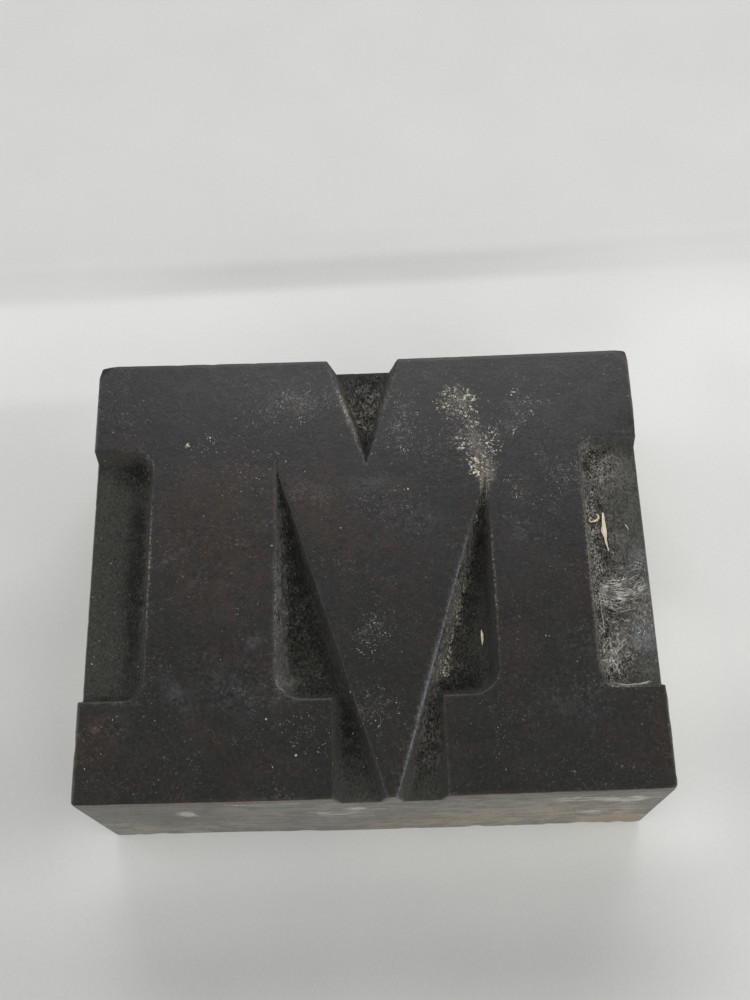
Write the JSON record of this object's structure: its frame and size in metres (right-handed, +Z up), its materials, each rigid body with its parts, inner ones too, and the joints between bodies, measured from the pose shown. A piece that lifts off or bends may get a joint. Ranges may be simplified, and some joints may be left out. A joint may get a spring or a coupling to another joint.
{
  "type": "wood type letter",
  "caption": "Type-high hardwood block with a reversed slab-serif capital M left in relief by tapered routed counters.",
  "frame": {"origin": "middle of the block's foot, the flat underside that stands on the press bed", "axes": "+Z up through the printing face, +Y towards the letter's head, +X towards its light stem, as the face is seen from above"},
  "size_m": [0.0658, 0.0542, 0.0236],
  "materials": {
    "inked_wood": "ink-stained and oiled, satin, dusty in the counters"
  },
  "bodies": {
    "root": {"type_block": "inked_wood"}
  },
  "joints": []
}
